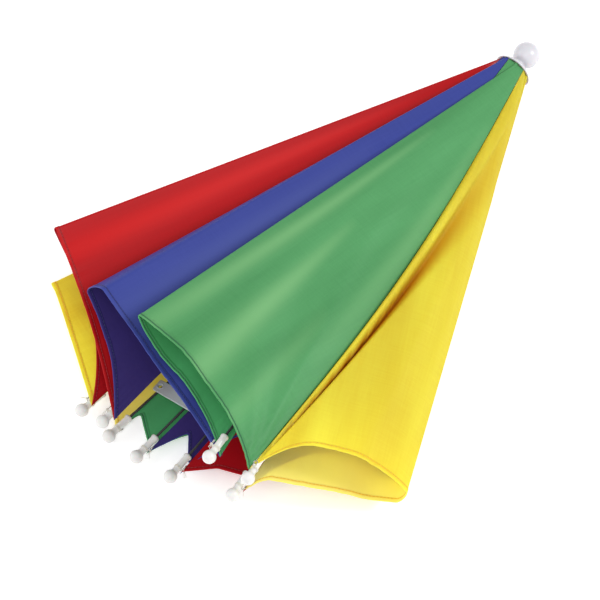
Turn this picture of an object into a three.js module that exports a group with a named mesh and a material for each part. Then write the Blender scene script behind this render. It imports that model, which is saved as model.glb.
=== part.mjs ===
// A folded umbrella hat that lies on its side. Millimetres, +Z up, +X from the rib tips to the
// crown knob. The model is laid out from the hub, the point where all the ribs meet, and is then
// moved so that the middle of its footprint on the floor is the origin.
import * as THREE from 'three';
import { mergeVertices } from 'three/addons/utils/BufferGeometryUtils.js';

// Clearances
const gap = 0.3;

// Ribs and their tips
const ribLength = 350;
const ribDiameter = 2.4;
const ballDiameter = 8;
const sleeveDiameter = 4.2;
const sleeveLength = 13;
const sleeveSocketDepth = 9;
const sleeveCollarDiameter = 4.8;
const sleeveCollarLength = 1.6;

// Crown
const knobDiameter = 16.3;
const knobNeckDiameter = 7;
const knobNeckLength = 2;
const flangeDiameter = 24;
const flangeWall = 1.3;
const flangeFlare = 3.4;
const flangeLip = 1;
const flangeCurve = 2;
const notchDiameter = 13.4;
const notchLength = 6;

// Cloth
const clothWall = 1;
const goreLength = 312;
const clothRingRadius = 7.8;
const foldRadius = 0.95;
const foldFlatness = 0.3;
const tipTie = 6;

// Head band and its strip
const stripWidth = 8;
const stripThickness = 1.2;
const stripHole = 2.4;
const stripEndMargin = 3;
const stripOverhang = 3;
const stripFromTip = 43;
const stripRibs = [5, 7];
const bandRibs = [6, 7];
const bandWidth = 15;
const bandThickness = 1.5;
const bandMouthShare = 0.8;
const bandHubShare = 0.34;
const bandTension = 0.35;

// Fineness of the faceted surfaces
const layerSteps = 9;
const foldSteps = 4;
const lengthSteps = 7;
const roundSteps = 24;
const rodSides = 8;
const tipSides = 12;
const flangeSteps = 4;
const knobSteps = 12;
const ballSteps = 7;
const holeSteps = 8;
const bandSteps = 40;
const mergeDistance = 1e-4;

const colours = {
  red: 0xc8232a,
  blue: 0x3c4a9e,
  green: 0x5fb077,
  yellow: 0xf7cf3d,
  white: 0xf2f0ea,
  grey: 0xc9cbc8,
  steel: 0x3a3a3d,
};

// One row for each rib, in order round the canopy. side and lift place its tip across and above
// the hub, as shares of the rib length. turn is its place round the notch and lean the direction
// in which its seam faces at the tip, in degrees from straight up towards +Y.
const ribTable = [
  { side: -0.171, lift: 0.114, turn: 315, lean: 5 },
  { side: -0.1, lift: 0.12, turn: 16, lean: 83 },
  { side: 0.121, lift: 0.009, turn: 45, lean: 68 },
  { side: 0.172, lift: -0.017, turn: 92, lean: 78 },
  { side: 0.108, lift: -0.0229, turn: 152, lean: 180 },
  { side: 0.046, lift: -0.0186, turn: 200, lean: 270 },
  { side: -0.026, lift: -0.0057, turn: 229, lean: 269 },
  { side: -0.146, lift: 0.046, turn: 258, lean: 258 },
];

// One row for each cloth panel, between rib number n and the next. side and lift place the fold
// of its pleat at the hem, and mouth is the radius to which the fold opens there, all as shares
// of the rib length. twist turns the fold, in degrees. reach is the fold's distance from the hub
// as a share of the panel's length. bowOut and bowBack bend the two layers outwards from the
// pleat's middle, as shares of the rib length, and drawOut and drawBack say how soon the hem
// comes back from the ribs' tips.
const goreTable = [
  {
    name: 'gore_green_upper', colour: 'green', side: 0.136, lift: 0.166, mouth: 0.004, twist: 0,
    crown: 0.93, reach: 1.006, bowOut: 0.024, bowBack: 0.01, drawOut: 2.4, drawBack: 3.5,
  },
  {
    name: 'gore_blue_upper', colour: 'blue', side: 0.252, lift: 0.113, mouth: 0.034, twist: 27,
    crown: 0.88, reach: 1, bowOut: -0.014, bowBack: 0.006, drawOut: 2, drawBack: 2,
  },
  {
    name: 'gore_red_upper', colour: 'red', side: 0.385, lift: 0.0906, mouth: 0.006, twist: 0,
    crown: 0.9, reach: 0.987, bowOut: -0.01, bowBack: -0.012, drawOut: 2, drawBack: 2,
  },
  {
    name: 'gore_yellow_upper', colour: 'yellow', side: 0.372, lift: -0.0289, mouth: 0.004, twist: 0,
    crown: 0.85, reach: 1.01, bowOut: 0.008, bowBack: 0, drawOut: 1.3, drawBack: 1.3,
  },
  {
    name: 'gore_green_under', colour: 'green', side: -0.223, lift: -0.0302, mouth: 0.0027, twist: 0,
    crown: 0.89, reach: 1, bowOut: 0, bowBack: 0.001, drawOut: 2, drawBack: 6,
  },
  {
    name: 'gore_blue_under', colour: 'blue', side: -0.271, lift: -0.0192, mouth: 0.0027, twist: 0,
    crown: 0.78, reach: 0.99, bowOut: 0, bowBack: 0.001, drawOut: 6, drawBack: 6,
  },
  {
    name: 'gore_red_under', colour: 'red', side: -0.32, lift: -0.0096, mouth: 0.0027, twist: 0,
    crown: 0.78, reach: 0.98, bowOut: 0, bowBack: -0.005, drawOut: 6, drawBack: 6,
  },
  {
    name: 'gore_yellow_side', colour: 'yellow', side: -0.36, lift: 0.017, mouth: 0.024, twist: 0,
    crown: 0.95, reach: 0.998, bowOut: -0.004, bowBack: 0.02, drawOut: 2.4, drawBack: 8,
  },
];

// Places along the hub's axis
const clothStart = -flangeFlare - gap;
const notchFront = clothStart - gap;
const knobNeckStart = flangeWall + gap;
const knobCentre = knobNeckStart + knobNeckLength + Math.sqrt(knobDiameter ** 2 - knobNeckDiameter ** 2) / 2;

const lerp = THREE.MathUtils.lerp;
const heading = (degrees) => {
  const angle = THREE.MathUtils.degToRad(degrees);
  return new THREE.Vector2(Math.sin(angle), Math.cos(angle));
};

// Ribs: the axis of each from the notch to the middle of its ball
const hubRadius = clothRingRadius - clothWall / 2 - gap - ribDiameter / 2;
const seamOffset = sleeveCollarDiameter / 2 + gap + clothWall / 2;
const seamSplit = (clothWall + 2 * gap) / 2;

function ribLine(row) {
  const y = row.side * ribLength;
  const z = row.lift * ribLength;
  const tip = new THREE.Vector3(-Math.sqrt(ribLength ** 2 - y ** 2 - z ** 2), y, z);
  const start = heading(row.turn).multiplyScalar(hubRadius - gap);
  return { start: new THREE.Vector3(notchFront - notchLength - gap, start.x, start.y), tip };
}

const ribs = ribTable.map(ribLine);

// A closed solid between two grids of points that lie on either side of a sheet
function sheetSolid(rows, thickness) {
  const across = rows[0].length;
  const point = (i, j) => rows[i][j];
  const clampedStep = (i, j, di, dj) => {
    const a = point(Math.max(i - di, 0), Math.max(j - dj, 0));
    const b = point(Math.min(i + di, rows.length - 1), Math.min(j + dj, across - 1));
    return new THREE.Vector3().subVectors(b, a);
  };
  const sides = [1, -1].map((sign) => rows.map((row, i) => row.map((p, j) => {
    const normal = clampedStep(i, j, 1, 0).cross(clampedStep(i, j, 0, 1)).normalize();
    return p.clone().addScaledVector(normal, sign * thickness / 2);
  })));
  const positions = [];
  const quad = (a, b, c, d) => [a, b, c, a, c, d].forEach((p) => positions.push(p.x, p.y, p.z));
  const [top, bottom] = sides;
  const last = rows.length - 1;
  for (let i = 0; i < last; i += 1) {
    for (let j = 0; j < across - 1; j += 1) {
      quad(top[i][j], top[i + 1][j], top[i + 1][j + 1], top[i][j + 1]);
      quad(bottom[i][j], bottom[i][j + 1], bottom[i + 1][j + 1], bottom[i + 1][j]);
    }
    quad(top[i][0], bottom[i][0], bottom[i + 1][0], top[i + 1][0]);
    quad(top[i + 1][across - 1], bottom[i + 1][across - 1], bottom[i][across - 1], top[i][across - 1]);
  }
  for (let j = 0; j < across - 1; j += 1) {
    quad(top[0][j + 1], bottom[0][j + 1], bottom[0][j], top[0][j]);
    quad(top[last][j], bottom[last][j], bottom[last][j + 1], top[last][j + 1]);
  }
  const geometry = new THREE.BufferGeometry();
  geometry.setAttribute('position', new THREE.Float32BufferAttribute(positions, 3));
  return mergeVertices(geometry, mergeDistance);
}

// Cloth panels. Each is a ruled sheet from the ring under the flange to the hem, with one pleat.
// side is -1 for the end of the panel before a rib and +1 for the start of the one after it.
function seamPoint(ribNumber, share, side) {
  const row = ribTable[ribNumber];
  const { tip } = ribs[ribNumber];
  const atRing = heading(row.turn).multiplyScalar(clothRingRadius);
  const atTip = heading(row.lean).multiplyScalar(seamOffset).add(new THREE.Vector2(tip.y, tip.z));
  const facing = heading(row.turn).multiplyScalar(1 - share).addScaledVector(heading(row.lean), share);
  facing.normalize();
  const along = new THREE.Vector2(facing.y, -facing.x);
  return atRing.lerp(atTip, share).addScaledVector(along, side * seamSplit);
}

function pleatSection(row, number, share) {
  const next = (number + 1) % ribTable.length;
  const start = seamPoint(number, share, 1);
  const end = seamPoint(next, share, -1);
  const betweenSeams = heading(ribTable[number].turn).add(heading(ribTable[next].turn)).normalize();
  const atRing = betweenSeams.multiplyScalar(row.crown * flangeDiameter / 2);
  const fold = atRing.lerp(new THREE.Vector2(row.side, row.lift).multiplyScalar(ribLength), share);
  const outward = fold.clone().sub(start.clone().add(end).multiplyScalar(0.5)).normalize();
  const across = new THREE.Vector2(-outward.y, outward.x);
  const turnsLeft = across.dot(start.clone().sub(end)) > 0;
  if (!turnsLeft) across.negate();
  const twist = THREE.MathUtils.degToRad(row.twist) * share * (turnsLeft ? 1 : -1);
  const foldOut = outward.clone().rotateAround(new THREE.Vector2(), twist);
  const foldAcross = across.clone().rotateAround(new THREE.Vector2(), twist);
  const radius = lerp(foldRadius, Math.max(row.mouth * ribLength, foldRadius), share);
  const depth = Math.max(radius * foldFlatness, foldRadius);
  const centre = fold.clone().addScaledVector(foldOut, -depth);
  const places = [];
  const layer = (from, to, bow, opening) => {
    for (let k = 0; k <= layerSteps; k += 1) {
      const w = k / layerSteps;
      const lift = bow * ribLength * share * 4 * w * (1 - w);
      const place = from.clone().lerp(to, w).addScaledVector(across, lift);
      places.push({ place, opening: opening(w) });
    }
  };
  layer(start, centre.clone().addScaledVector(foldAcross, radius), row.bowOut, (w) => w);
  for (let k = 1; k < foldSteps; k += 1) {
    const angle = Math.PI * k / foldSteps;
    const place = centre.clone().addScaledVector(foldAcross, radius * Math.cos(angle));
    place.addScaledVector(foldOut, depth * Math.sin(angle));
    places.push({ place, opening: 1 });
  }
  layer(centre.clone().addScaledVector(foldAcross, -radius), end, -row.bowBack, (w) => 1 - w);
  return places;
}

function goreSheet(row, number) {
  const seamEnd = ribLength - tipTie;
  const foldEnd = row.reach * goreLength;
  const hem = pleatSection(row, number, 1).map(({ place, opening }, j) => {
    const draw = j <= layerSteps ? row.drawOut : row.drawBack;
    const reach = seamEnd - (seamEnd - foldEnd) * (1 - (1 - opening) ** draw);
    return -Math.sqrt(reach ** 2 - place.lengthSq());
  });
  const rows = [];
  for (let k = 0; k <= lengthSteps; k += 1) {
    const share = k / lengthSteps;
    rows.push(pleatSection(row, number, share).map(({ place }, j) => (
      new THREE.Vector3(lerp(clothStart, hem[j], share), place.x, place.y)
    )));
  }
  return sheetSolid(rows, clothWall);
}

// Round pieces are turned about the X axis. A profile is a list of [along X, radius].
function turned(profile, sides) {
  const geometry = new THREE.LatheGeometry(profile.map(([x, r]) => new THREE.Vector2(r, x)), sides);
  geometry.rotateZ(-Math.PI / 2);
  return geometry;
}

// A ball's outline from the angle at which a neck or sleeve meets it to its far end on the axis
function arc(centre, radius, meet, steps) {
  const points = Array.from({ length: steps }, (_, k) => {
    const angle = lerp(meet, Math.PI, k / steps);
    return [centre - radius * Math.cos(angle), radius * Math.sin(angle)];
  });
  return [...points, [centre + radius, 0]];
}

function knobGeometry() {
  const ball = knobDiameter / 2;
  const neck = knobNeckDiameter / 2;
  const meet = Math.asin(neck / ball);
  const profile = [[knobNeckStart, 0], [knobNeckStart, neck], ...arc(knobCentre, ball, meet, knobSteps)];
  return turned(profile, roundSteps);
}

// A thin skirt: flat under the neck, then curved back to its rim on both faces
function flangeGeometry() {
  const rim = flangeDiameter / 2;
  const flat = knobNeckDiameter / 2 + flangeLip;
  const face = (front, edge) => Array.from({ length: flangeSteps + 1 }, (_, k) => {
    const out = k / flangeSteps;
    return [lerp(front, -flangeFlare, out ** flangeCurve), lerp(flat, edge, out)];
  });
  const back = face(0, rim - flangeWall);
  const top = face(flangeWall, rim);
  return turned([[flangeWall, 0], ...top, ...back.reverse(), [0, 0]], roundSteps);
}

function notchGeometry() {
  const radius = notchDiameter / 2;
  return turned([
    [notchFront - notchLength, 0],
    [notchFront - notchLength, radius],
    [notchFront, radius],
    [notchFront, 0],
  ], roundSteps);
}

function ribGeometry({ start, tip }) {
  const direction = new THREE.Vector3().subVectors(tip, start).normalize();
  const socketEnd = -ballDiameter / 2 - sleeveLength + sleeveSocketDepth;
  const end = tip.clone().addScaledVector(direction, socketEnd - gap);
  const radius = ribDiameter / 2;
  const geometry = new THREE.CylinderGeometry(radius, radius, start.distanceTo(end), rodSides);
  const turn = new THREE.Quaternion().setFromUnitVectors(new THREE.Vector3(0, 1, 0), direction);
  geometry.applyQuaternion(turn);
  const middle = start.clone().add(end).multiplyScalar(0.5);
  return geometry.translate(middle.x, middle.y, middle.z);
}

function tipGeometry({ start, tip }) {
  const ball = ballDiameter / 2;
  const sleeve = sleeveDiameter / 2;
  const collar = sleeveCollarDiameter / 2;
  const bore = ribDiameter / 2 + gap;
  const mouth = -ball - sleeveLength;
  const meet = Math.asin(sleeve / ball);
  const profile = [
    [mouth + sleeveSocketDepth, 0],
    [mouth + sleeveSocketDepth, bore],
    [mouth, bore],
    [mouth, collar],
    [mouth + sleeveCollarLength, collar],
    [mouth + sleeveCollarLength, sleeve],
    ...arc(0, ball, meet, ballSteps),
  ];
  const geometry = turned(profile, tipSides);
  const direction = new THREE.Vector3().subVectors(tip, start).normalize();
  geometry.applyQuaternion(new THREE.Quaternion().setFromUnitVectors(new THREE.Vector3(1, 0, 0), direction));
  return geometry.translate(tip.x, tip.y, tip.z);
}

// Head band: the strip lies across its ribs near their tips, and the loop stands on two of them
function ribPlace(name, fromTip) {
  const { start, tip } = ribs[name - 1];
  const direction = new THREE.Vector3().subVectors(start, tip).normalize();
  return tip.clone().addScaledVector(direction, fromTip);
}

function stripGeometry() {
  const lifted = ribDiameter / 2 + gap + stripThickness / 2;
  const [near, far] = stripRibs.map((name) => ribPlace(name, stripFromTip));
  const along = new THREE.Vector3(0, far.y - near.y, far.z - near.z).normalize();
  const up = new THREE.Vector3(0, -along.z, along.y).multiplyScalar(along.y < 0 ? -1 : 1);
  const outline = new THREE.Shape();
  const half = stripWidth / 2;
  const stripLength = near.distanceTo(far) + 2 * stripOverhang;
  outline.moveTo(0, -half).lineTo(stripLength, -half).lineTo(stripLength, half).lineTo(0, half).closePath();
  const hole = new THREE.Path();
  hole.absarc(stripEndMargin, 0, stripHole / 2, 0, 2 * Math.PI, true);
  outline.holes.push(hole);
  const settings = { depth: stripThickness, bevelEnabled: false, curveSegments: holeSteps };
  const geometry = new THREE.ExtrudeGeometry(outline, settings);
  geometry.translate(-stripOverhang, 0, -stripThickness / 2);
  const across = new THREE.Vector3().crossVectors(up, along);
  geometry.applyMatrix4(new THREE.Matrix4().makeBasis(along, across, up));
  const place = near.clone().addScaledVector(up, lifted);
  return geometry.translate(place.x, place.y, place.z);
}

function bandGeometry() {
  const [near, far] = bandRibs.map((name) => [bandMouthShare, bandHubShare].map((share) => {
    const { start, tip } = ribs[name - 1];
    return start.clone().lerp(tip, share);
  }));
  const rest = ribDiameter / 2 + gap + bandWidth / 2;
  const corners = [near[0], near[1], far[1], far[0]].map((p) => p.clone().setZ(p.z + rest));
  const curve = new THREE.CatmullRomCurve3(corners, true, 'catmullrom', bandTension);
  const rings = Array.from({ length: bandSteps }, (_, k) => {
    const p = curve.getPointAt(k / bandSteps);
    const tangent = curve.getTangentAt(k / bandSteps);
    const side = new THREE.Vector3(tangent.y, -tangent.x, 0).normalize().multiplyScalar(bandThickness / 2);
    return [[1, 1], [1, -1], [-1, -1], [-1, 1]].map(([s, u]) => (
      p.clone().addScaledVector(side, s).add(new THREE.Vector3(0, 0, u * bandWidth / 2))
    ));
  });
  const positions = [];
  rings.forEach((ring, i) => {
    const next = rings[(i + 1) % bandSteps];
    ring.forEach((a, j) => {
      const b = ring[(j + 1) % ring.length];
      const c = next[(j + 1) % ring.length];
      const d = next[j];
      [a, b, c, a, c, d].forEach((p) => positions.push(p.x, p.y, p.z));
    });
  });
  const geometry = new THREE.BufferGeometry();
  geometry.setAttribute('position', new THREE.Float32BufferAttribute(positions, 3));
  return mergeVertices(geometry, mergeDistance);
}

// Faces the triangles outwards, whatever way a sheet or ring was walked
function facingOut(geometry) {
  const merged = geometry.clone();
  merged.deleteAttribute('normal');
  merged.deleteAttribute('uv');
  const solid = mergeVertices(merged, mergeDistance);
  const p = solid.getAttribute('position');
  const index = solid.getIndex();
  const corner = (i) => new THREE.Vector3().fromBufferAttribute(p, index.getX(i));
  let volume = 0;
  const kept = [];
  for (let i = 0; i < index.count; i += 3) {
    const [a, b, c] = [index.getX(i), index.getX(i + 1), index.getX(i + 2)];
    if (a === b || b === c || c === a) continue;
    kept.push([a, b, c]);
    volume += corner(i).dot(corner(i + 1).cross(corner(i + 2))) / 6;
  }
  solid.setIndex(kept.flatMap(([a, b, c]) => (volume > 0 ? [a, b, c] : [a, c, b])));
  solid.computeVertexNormals();
  return solid;
}

const finishes = {
  cloth: { roughness: 0.5, metalness: 0 },
  plastic: { roughness: 0.25, metalness: 0 },
  metal: { roughness: 0.35, metalness: 0.8 },
};

const hat = new THREE.Group();

function addPiece(name, geometry, colour, finish) {
  const material = new THREE.MeshStandardMaterial({ color: colours[colour], ...finishes[finish] });
  const mesh = new THREE.Mesh(facingOut(geometry), material);
  mesh.name = name;
  hat.add(mesh);
}

addPiece('crown_knob', knobGeometry(), 'white', 'plastic');
addPiece('crown_flange', flangeGeometry(), 'white', 'plastic');
addPiece('rib_notch', notchGeometry(), 'white', 'plastic');
goreTable.forEach((row, number) => addPiece(row.name, goreSheet(row, number), row.colour, 'cloth'));
ribs.forEach((rib, number) => {
  addPiece(`rib_${number + 1}`, ribGeometry(rib), 'steel', 'metal');
  addPiece(`rib_tip_${number + 1}`, tipGeometry(rib), 'white', 'plastic');
});
addPiece('band_strip', stripGeometry(), 'grey', 'plastic');
addPiece('head_band', bandGeometry(), 'white', 'cloth');

// The origin: the middle of the footprint, on the floor
const box = new THREE.Box3().setFromObject(hat);
const middle = box.getCenter(new THREE.Vector3());
hat.position.set(-middle.x, -middle.y, -box.min.z);

export default hat;
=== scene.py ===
"""A folded umbrella hat that lies on its side on a pale floor."""
import math
from collections import namedtuple

import bpy
import numpy as np
from mathutils import Matrix, Vector


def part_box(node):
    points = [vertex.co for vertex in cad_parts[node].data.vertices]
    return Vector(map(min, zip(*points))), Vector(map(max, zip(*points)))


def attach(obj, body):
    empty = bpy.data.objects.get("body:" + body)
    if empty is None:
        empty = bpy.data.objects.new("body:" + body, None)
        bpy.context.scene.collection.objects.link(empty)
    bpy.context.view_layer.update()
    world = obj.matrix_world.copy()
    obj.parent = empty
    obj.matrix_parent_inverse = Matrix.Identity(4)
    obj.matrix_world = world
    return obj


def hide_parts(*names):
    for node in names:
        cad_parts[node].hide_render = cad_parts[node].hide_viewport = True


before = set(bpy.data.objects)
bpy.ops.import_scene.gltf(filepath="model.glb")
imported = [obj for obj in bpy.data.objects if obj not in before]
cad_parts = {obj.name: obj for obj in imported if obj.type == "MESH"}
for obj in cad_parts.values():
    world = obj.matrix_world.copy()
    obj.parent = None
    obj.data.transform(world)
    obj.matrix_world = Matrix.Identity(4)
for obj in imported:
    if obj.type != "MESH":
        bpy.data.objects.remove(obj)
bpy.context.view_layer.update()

# Sizes in millimetres; the meshes are made in metres
MM = 0.001
RIB_LENGTH = 350
ROD = 2.4
WIRE = 1.5
BALL = 8
SLEEVE = 4.2
SLEEVE_LENGTH = 13
SOCKET_DEPTH = 9
COLLAR = 4.8
COLLAR_LENGTH = 1.6
GAP = 0.3
SOLID_WALL = 1
GORE_LENGTH = 312
RING_RADIUS = 7.8
CLOTH_RING_RADIUS = 11
FOLD_RADIUS = 0.95
FOLD_FLATNESS = 0.3
TIP_TIE = 6
KNOB = 16.3
KNOB_NECK = 7
KNOB_NECK_LENGTH = 2
FLANGE = 24
FLANGE_WALL = 1.3
FLANGE_FLARE = 3.4
FLANGE_LIP = 1
NOTCH = 13.4
NOTCH_LENGTH = 6
STRIP_WIDTH = 8
STRIP_THICKNESS = 1.2
STRIP_HOLE = 2.4
STRIP_END_MARGIN = 3
STRIP_OVERHANG = 3
STRIP_FROM_TIP = 43
STRIP_RIBS = (4, 6)
STRIP_CORNER = 1
EYELET_RIM = 3.6
EYELET_RIM_WIRE = 0.35
BAND_RIBS = (5, 6)
BAND_SHARES = (0.8, 0.34)
BAND_WIDTH = 15
BAND_THICKNESS = 1.1
BAND_GATHER = 5.5
BAND_RUFFLE = 0.5
CLOTH = 0.22
HEM_WIDTH = 2.9
HEM_THICKNESS = 0.75
STITCH_LINES = {"green": 1.5, "blue": 2.5, "red": 2.4, "yellow": 2.5}
STITCH_PITCH = 2.1
STITCH_LENGTH = 1.5
STITCH_THREAD = 0.42
FLOOR_CLEARANCE = 0.2

# The camera looks at the hat from the side of the rib tips
CAMERA_AZIMUTH = -52.7
CAMERA_ELEVATION = 58
CAMERA_DISTANCE = 2500
HUB_RIGHT_OF_AXIS = 130.9
HUB_ABOVE_AXIS = 141.2
LENS = 247.5
SENSOR = 36
CAMERA_REACH = 20

# Each light: its name, its place and the point it faces in metres, its width and its power
LIGHTS = [
    ("key", (1.0, -1.45, 1.6), (-0.05, 0, 0), 0.8, 30),
    ("fill", (-1.2, -0.5, 1.7), (0, 0, 0), 1.8, 12),
    ("left", (-0.9, 1.2, 0.7), (-0.1, 0, 0), 1.4, 8),
]
WORLD_LIGHT = 0.65
FLOOR_HALF = 6
FLOOR_GLOW = 0.32

# One row for each rib, in order round the canopy: where its seam leaves the notch, which way the
# seam faces at the tip, how far the slack cloth hangs beside the rib halfway, sideways and up, and
# how far the cloth's corner has slipped round the tip, sideways, up and towards the ball
Rib = namedtuple("Rib", "side lift turn lean slack_side slack_lift slip_side slip_lift slip_out")
RIBS = [
    Rib(-0.171, 0.114, 315, 5, -9.5, 1, 2, -0.5, 2.5),
    Rib(-0.1, 0.12, 16, 83, 0, 0, -6.7, -3.6, 1),
    Rib(0.121, 0.009, 45, 68, 0, 0, -8.5, 0.8, 1.5),
    Rib(0.172, -0.017, 92, 78, 0, 0, -7.1, 2.5, 1),
    Rib(0.108, -0.0229, 152, 180, 0, 0, 0, 0, 1),
    Rib(0.046, -0.0186, 200, 270, 0, 0, 0, 0, 1),
    Rib(-0.026, -0.0057, 229, 269, 0, 0, 0, 0, 1),
    Rib(-0.146, 0.046, 258, 258, 0, 0, 0, 0, 1),
]

# One row for each cloth panel, between one rib and the next, as shares of the rib length, and the
# height of its soft waves in millimetres
Gore = namedtuple(
    "Gore", "name colour side lift mouth twist crown reach bow_out bow_back draw_out draw_back wave"
)
GORES = [
    Gore("green_upper", "green", 0.136, 0.166, 0.004, 0, 0.93, 1.006, 0.024, 0.03, 2.4, 2.6, 1.3),
    Gore("blue_upper", "blue", 0.252, 0.113, 0.034, 27, 0.88, 1, -0.014, 0.006, 2, 2, 0.8),
    Gore("red_upper", "red", 0.385, 0.0906, 0.006, 0, 0.9, 0.987, -0.01, -0.006, 2, 3.6, 0.6),
    Gore("yellow_upper", "yellow", 0.372, -0.0289, 0.004, 0, 0.85, 1.01, 0.008, 0, 1.3, 4, 0.4),
    Gore("green_under", "green", -0.223, -0.0302, 0.0027, 0, 0.89, 1, 0, 0.001, 2, 6, 0.08),
    Gore("blue_under", "blue", -0.271, -0.0192, 0.0027, 0, 0.78, 0.99, 0, 0.001, 6, 6, 0.08),
    Gore("red_under", "red", -0.32, -0.0096, 0.0027, 0, 0.78, 0.98, 0, -0.005, 6, 6, 0.08),
    Gore("yellow_side", "yellow", -0.36, 0.017, 0.024, 0, 0.95, 0.998, -0.004, 0.028, 2.4, 8, 1.0),
]
# The hems that don't follow the plain curve: places as shares of the outer layer, each with its
# depth in millimetres back from the ribs' tips. Each is drawn up beside a rib; the lower ones are
# caught again by the next rib and then run back out of sight.
HEMS = {
    "green_under": ((0, 0), (0.03, 18.5), (0.19, 5), (0.25, 40), (1, 40)),
    "blue_under": ((0, 0), (0.10, 25), (0.225, 7), (0.29, 56), (1, 56)),
    "red_under": ((0, 0), (0.15, 13.5), (0.36, 19), (0.47, 46), (1, 46)),
    "yellow_side": ((0, 0), (0.045, 8.5), (0.09, 12.5), (0.2, 16), (1, 33)),
}
HEM_SOFTNESS = 0.012
HEM_RISE = 12
SLIP_POWER = 3

# Seeds of the random draws; each panel and each tie adds its own number
CLOTH_SEED = 20
TIE_SEED = 60

# Small forms of the cloth in millimetres: soft folds along it, puckers along its hem, gathers at
# its corners, the rolled edge and the groove that the stitches pull into it
WAVE_COUNTS = (2.1, 3.4, 5.2, 7.7)
WAVE_GAIN = 2.4
WAVE_DRIFT = 0.9
PUCKER_LENGTHS = (6.3, 9.1, 14.5)
PUCKER_HEIGHT = 0.14
PUCKER_REACH = 6
PUCKER_SLANT = 0.05
GATHER_LENGTH = 4.5
GATHER_HEIGHT = 0.5
GATHER_REACH = 9
GATHER_START = 1.5
EDGE_WIDTH = 0.5
GROOVE_WIDTH = 0.25
GROOVE_DEPTH = 0.6
STITCH_SHADE_WIDTH = 0.38

# Folds of the top panel that meet at the first rib's tip: degrees away from the rib, spread in
# degrees and height in millimetres, and how far from the tip they begin and end
FOLD_GORE = "green_upper"
TipFold = namedtuple("TipFold", "turn spread height")
TIP_FOLDS = [
    TipFold(8, 3.5, -1.0),
    TipFold(19, 4.0, 1.7),
    TipFold(33, 7.0, -1.8),
    TipFold(54, 9.0, 1.9),
]
TIP_FOLDS_START = 16
TIP_FOLDS_END = 170

# Bands of painted light on the outer layers: where each starts and ends along the panel, its place across
# the layer and its width there, as shares, and its strength
Band = namedtuple("Band", "start end share_start share_end width_start width_end strength")
PAINTED_LIGHT_BANDS = {
    "green_upper": [
        Band(0.53, 1.12, 0.62, 0.53, 0.045, 0.10, 1.0),
        Band(0.25, 1.10, 0.84, 0.93, 0.05, 0.07, 0.9),
        Band(0.15, 0.80, 0.10, 0.14, 0.10, 0.07, 0.5),
        Band(0.70, 1.10, 0.26, 0.24, 0.06, 0.05, 0.5),
    ],
    "blue_upper": [Band(0.35, 1.10, 0.80, 0.88, 0.09, 0.07, 0.8)],
    "red_upper": [Band(0.20, 1.15, 0.84, 0.86, 0.09, 0.07, 0.9)],
}

# The roll of slack yellow cloth beside the first rib, and the valley next to it
ROLL_GORE = "yellow_side"
ROLL_WIDTH = 12
ROLL_HEIGHT = 4.2
ROLL_LEAST_WIDTH = 0.8
ROLL_OVERLAP = 0.92
VALLEY_WIDTH = 26
VALLEY_END_WIDTH = 3.5
VALLEY_DEPTH = 11
# Painted shade in the valley: VALLEY_SHADE sets how fast it darkens with depth, the next two how it grows
# towards the hem
VALLEY_SHADE = 1.9
CREASE_SHADE_START = 0.55
CREASE_SHADE_GAIN = 0.6

# Fineness of the cloth: columns in each layer and in its fold, and rows by distance from the hem
LAYER_COLUMNS = 78
FOLD_COLUMNS = 12
HEM_ROWS = [0, 0.12, 0.35, 0.7, 1.1, 2.0, 2.9, 3.1, 3.6, 4.6, 6, 8, 10.5]
STITCH_ROWS = [-0.36, -0.18, 0, 0.18, 0.36]
ROW_STEP = 4

SEAM_OFFSET = COLLAR / 2 + GAP + SOLID_WALL / 2
SEAM_SPLIT = 0.2
CLOTH_START = -FLANGE_FLARE - GAP
NOTCH_FRONT = CLOTH_START - GAP

COLOURS = {
    "red": (0.47, 0.001, 0.004),
    "blue": (0.040, 0.060, 0.32),
    "green": (0.09, 0.36, 0.125),
    "yellow": (1.0, 0.80, 0.065),
}
# Colours of the painted light bands on the upper panels
PAINTED_LIGHT_COLOURS = {
    "red": (0.62, 0.008, 0.008),
    "blue": (0.068, 0.092, 0.34),
    "green": (0.205, 0.50, 0.205),
}
THROUGH = {"red": 0.14, "blue": 0.18, "green": 0.28, "yellow": 0.58}
PALER = {"red": 0.002, "blue": 0.012, "green": 0.03, "yellow": 0.05}
THREADS = {
    "red": (0.30, 0.002, 0.006),
    "blue": (0.012, 0.018, 0.13),
    "green": (0.012, 0.10, 0.045),
    "yellow": (0.90, 0.56, 0.035),
}
# Painted light and shade on the inner face of each layer: lighter for green and yellow, darker for red and
# blue
INSIDE_LIGHT_AND_SHADE = {
    "red": (0.42, 0.003, 0.008),
    "blue": (0.046, 0.030, 0.18),
    "green": (0.10, 0.48, 0.18),
    "yellow": (1.0, 0.95, 0.40),
}
# Painted shade in the yellow valley: amber, and dark brown where it is deepest
PAINTED_CREASE_AMBER = (0.80, 0.40, 0.002)
PAINTED_CREASE_SHADE = (0.50, 0.11, 0.002)


# Places on the frame

low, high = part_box("crown_flange")
hub = np.array([high[0] / MM - FLANGE_WALL, (low[1] + high[1]) / 2 / MM, (low[2] + high[2]) / 2 / MM])


def rib_tip(row):
    y = row.side * RIB_LENGTH
    z = row.lift * RIB_LENGTH
    return np.array([-math.sqrt(RIB_LENGTH ** 2 - y ** 2 - z ** 2), y, z])


tips = [rib_tip(row) for row in RIBS]


def heading(degrees):
    angle = math.radians(degrees)
    return np.array([math.sin(angle), math.cos(angle)])


def unit(vectors):
    return vectors / np.linalg.norm(vectors, axis=-1, keepdims=True)


# Mesh helpers

def new_object(name, data):
    piece = bpy.data.objects.new(name, data)
    bpy.context.scene.collection.objects.link(piece)
    return piece


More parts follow.
